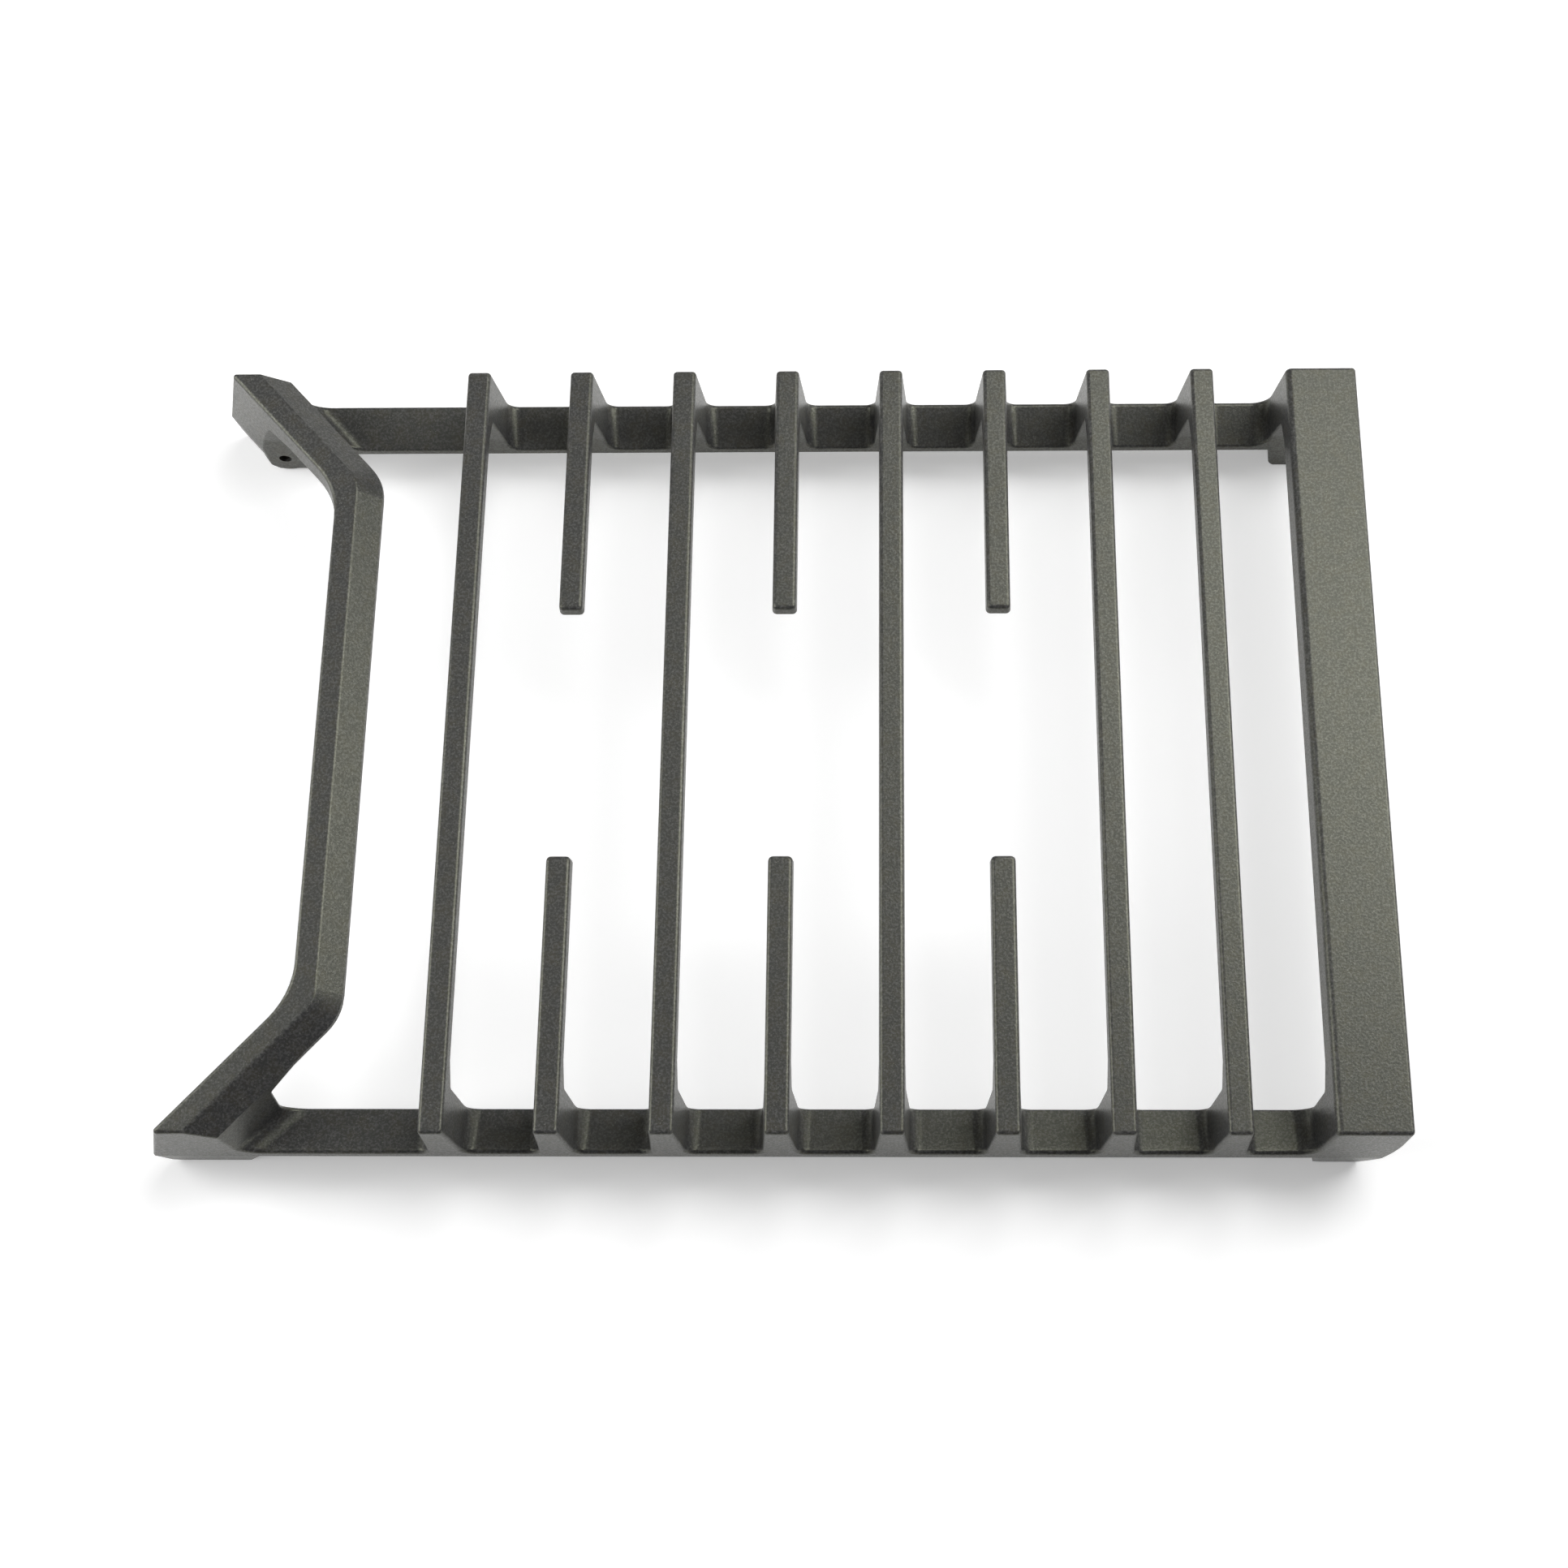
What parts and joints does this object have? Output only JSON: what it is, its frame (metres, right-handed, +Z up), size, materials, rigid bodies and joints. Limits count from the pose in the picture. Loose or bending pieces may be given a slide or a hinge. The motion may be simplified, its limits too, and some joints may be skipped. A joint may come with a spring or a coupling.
{
  "type": "hob pan support",
  "caption": "Cast pan support for a gas hob: parallel fingers over two rails, with a wide bar at one side and a cranked bar at the other, on four corner feet.",
  "frame": {"origin": "on the surface under the feet, in the middle of the outline", "axes": "+Z up, towards the pan; +X along the rails, from the cranked bar to the wide bar; +Y along the fingers, towards the end with the hanging hole"},
  "size_m": [0.4022, 0.2724, 0.0455],
  "materials": {
    "enamelled_iron": "matt enamel"
  },
  "bodies": {
    "root": {"pan_support": "enamelled_iron"}
  },
  "joints": []
}
